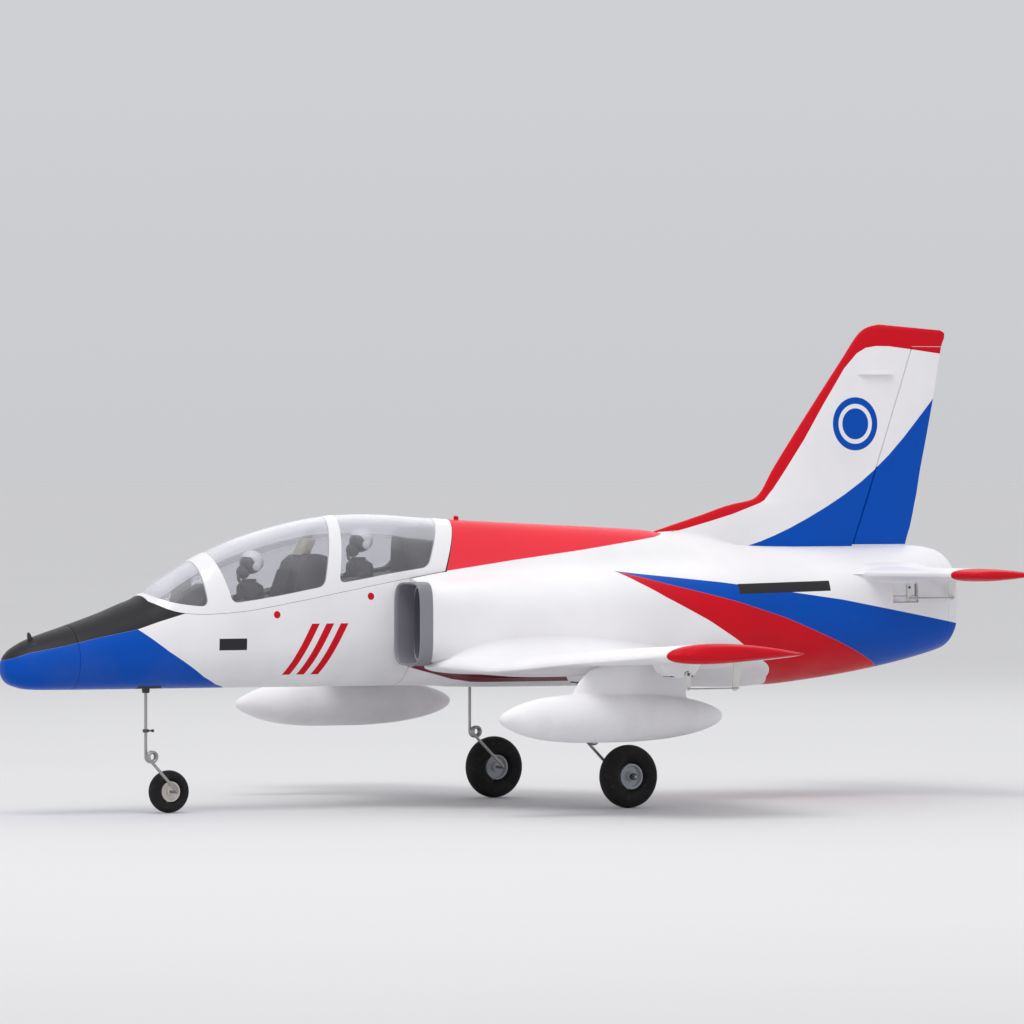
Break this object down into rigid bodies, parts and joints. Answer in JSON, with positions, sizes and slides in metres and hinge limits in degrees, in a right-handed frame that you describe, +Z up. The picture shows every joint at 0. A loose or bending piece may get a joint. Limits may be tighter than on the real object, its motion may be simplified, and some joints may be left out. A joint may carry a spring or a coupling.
{
  "type": "rc jet plane",
  "caption": "Foam ducted-fan jet trainer model with lift-off canopy, hinged control surfaces, steerable nose wheel and underwing tanks, standing on wire legs.",
  "frame": {"origin": "on the ground, half-way between the nose tip and the last trailing edge, on the centreline", "axes": "+Z up, +Y from the nose towards the tail, +X towards the model's left (port) side"},
  "size_m": [0.74, 0.952, 0.4252],
  "materials": {
    "white_foam": "satin",
    "blue_foam": "satin",
    "red_foam": "satin",
    "red_plastic": "gloss",
    "grey_plastic": "satin",
    "clear_pane": "gloss",
    "black_plastic": "satin",
    "white_plastic": "satin",
    "figure_plastic": "matte",
    "battery_pack": "satin",
    "motor_metal": "satin",
    "tube_plastic": "satin",
    "carbon": "satin",
    "steel_wire": "polished",
    "foam_rubber": "matte",
    "hub_plastic": "satin"
  },
  "bodies": {
    "airframe": {"fuselage_front": "white_foam", "fuselage_rear": "white_foam", "belly_fairing": "white_foam", "fin": "white_foam", "stabilizer_left": "white_foam", "stabilizer_right": "white_foam", "wing_left": "white_foam", "wing_right": "white_foam", "drop_tank_left": "white_foam", "drop_tank_right": "white_foam", "nose_cone": "blue_foam", "spine_beacon": "red_plastic", "intake_lip_left": "grey_plastic", "intake_lip_right": "grey_plastic", "exhaust_ring": "grey_plastic", "nose_probe": "black_plastic", "elevator_servo": "black_plastic", "aileron_servo_left": "black_plastic", "aileron_servo_right": "black_plastic", "steering_servo": "black_plastic", "receiver": "black_plastic", "speed_controller": "black_plastic", "main_gear_block_left": "black_plastic", "main_gear_block_right": "black_plastic", "nose_gear_block": "black_plastic", "fan_housing": "black_plastic", "battery": "battery_pack", "fan_motor": "motor_metal", "thrust_tube": "tube_plastic", "wing_spar": "carbon", "main_leg_left": "steel_wire", "main_leg_right": "steel_wire"},
    "canopy": {"canopy_frame": "white_foam", "windscreen_pane": "clear_pane", "front_canopy_pane": "clear_pane", "rear_canopy_pane": "clear_pane", "cockpit_tray": "black_plastic", "front_pilot": "figure_plastic", "rear_pilot": "figure_plastic", "front_seat": "black_plastic", "rear_seat": "black_plastic"},
    "fan": {"fan_rotor": "black_plastic"},
    "rudder": {"rudder": "white_foam"},
    "elevator_left": {"elevator_left": "red_foam"},
    "elevator_right": {"elevator_right": "red_foam"},
    "elevator_arm": {"elevator_servo_arm": "white_plastic"},
    "elevator_rod": {"elevator_pushrod": "steel_wire"},
    "aileron_left": {"aileron_left": "white_foam"},
    "aileron_right": {"aileron_right": "white_foam"},
    "aileron_arm_left": {"aileron_servo_arm_left": "white_plastic"},
    "aileron_arm_right": {"aileron_servo_arm_right": "white_plastic"},
    "aileron_rod_left": {"aileron_pushrod_left": "steel_wire"},
    "aileron_rod_right": {"aileron_pushrod_right": "steel_wire"},
    "nose_gear": {"nose_leg": "steel_wire"},
    "nose_wheel": {"nose_tyre": "foam_rubber", "nose_hub": "hub_plastic"},
    "main_wheel_left": {"main_tyre_left": "foam_rubber", "main_hub_left": "hub_plastic"},
    "main_wheel_right": {"main_tyre_right": "foam_rubber", "main_hub_right": "hub_plastic"}
  },
  "joints": [
    {"name": "canopy_lift", "type": "slide", "parent": "airframe", "child": "canopy", "axis": [0, 0, 1], "range_m": [0, 0.05]},
    {"name": "fan_spin", "type": "hinge", "parent": "airframe", "child": "fan", "pos_m": [0, 0.0312, 0.166], "axis": [0, 1, 0], "continuous": true},
    {"name": "rudder_hinge", "type": "hinge", "parent": "airframe", "child": "rudder", "pos_m": [0, 0.40254, 0.3], "axis": [0, 0.3341, 0.9425], "range_deg": [-25, 25]},
    {"name": "elevator_left_hinge", "type": "hinge", "parent": "airframe", "child": "elevator_left", "pos_m": [0.116, 0.4337, 0.2005], "axis": [1, 0, 0], "range_deg": [-15, 15]},
    {"name": "elevator_right_hinge", "type": "hinge", "parent": "airframe", "child": "elevator_right", "pos_m": [-0.116, 0.4337, 0.2005], "axis": [1, 0, 0], "range_deg": [-15, 15]},
    {"name": "elevator_arm_pivot", "type": "hinge", "parent": "airframe", "child": "elevator_arm", "pos_m": [0.055, 0.4032, 0.188], "axis": [1, 0, 0], "range_deg": [-36, 36]},
    {"name": "elevator_rod_slide", "type": "slide", "parent": "airframe", "child": "elevator_rod", "axis": [0, 1, 0], "range_m": [-0.0062, 0.0062]},
    {"name": "aileron_left_hinge", "type": "hinge", "parent": "airframe", "child": "aileron_left", "pos_m": [0.2725, 0.07769, 0.13347], "axis": [0.9821, -0.1751, 0.0688], "range_deg": [-15, 15]},
    {"name": "aileron_right_hinge", "type": "hinge", "parent": "airframe", "child": "aileron_right", "pos_m": [-0.2725, 0.07769, 0.13347], "axis": [0.9821, 0.1751, -0.0688], "range_deg": [-15, 15]},
    {"name": "aileron_arm_left_pivot", "type": "hinge", "parent": "airframe", "child": "aileron_arm_left", "pos_m": [0.2772, 0.0362, 0.1207], "axis": [1, 0, 0], "range_deg": [-33, 33]},
    {"name": "aileron_rod_left_slide", "type": "slide", "parent": "airframe", "child": "aileron_rod_left", "axis": [0, 1, 0], "range_m": [-0.0068, 0.0068]},
    {"name": "aileron_arm_right_pivot", "type": "hinge", "parent": "airframe", "child": "aileron_arm_right", "pos_m": [-0.2772, 0.0362, 0.1207], "axis": [1, 0, 0], "range_deg": [-33, 33]},
    {"name": "aileron_rod_right_slide", "type": "slide", "parent": "airframe", "child": "aileron_rod_right", "axis": [0, 1, 0], "range_m": [-0.0068, 0.0068]},
    {"name": "nose_steering", "type": "hinge", "parent": "airframe", "child": "nose_gear", "pos_m": [0.01, -0.3446, 0.08], "axis": [0, 0, 1], "range_deg": [-25, 25]},
    {"name": "nose_wheel_spin", "type": "hinge", "parent": "nose_gear", "child": "nose_wheel", "pos_m": [0, -0.3173, 0.0183], "axis": [1, 0, 0], "continuous": true},
    {"name": "main_wheel_left_spin", "type": "hinge", "parent": "airframe", "child": "main_wheel_left", "pos_m": [0.1175, 0.0722, 0.0275], "axis": [1, 0, 0], "continuous": true},
    {"name": "main_wheel_right_spin", "type": "hinge", "parent": "airframe", "child": "main_wheel_right", "pos_m": [-0.1175, 0.0722, 0.0275], "axis": [1, 0, 0], "continuous": true}
  ],
  "couplings": [
    {"joint": "elevator_right_hinge", "follows": "elevator_left_hinge", "ratio": 1},
    {"joint": "elevator_arm_pivot", "follows": "elevator_left_hinge", "ratio": 2.3158},
    {"joint": "elevator_rod_slide", "follows": "elevator_left_hinge", "m_per_rad": 0.022},
    {"joint": "aileron_right_hinge", "follows": "aileron_left_hinge", "ratio": -1},
    {"joint": "aileron_arm_left_pivot", "follows": "aileron_left_hinge", "ratio": 2.0544},
    {"joint": "aileron_rod_left_slide", "follows": "aileron_left_hinge", "m_per_rad": 0.02506},
    {"joint": "aileron_arm_right_pivot", "follows": "aileron_left_hinge", "ratio": -2.0544},
    {"joint": "aileron_rod_right_slide", "follows": "aileron_left_hinge", "m_per_rad": -0.02506}
  ]
}
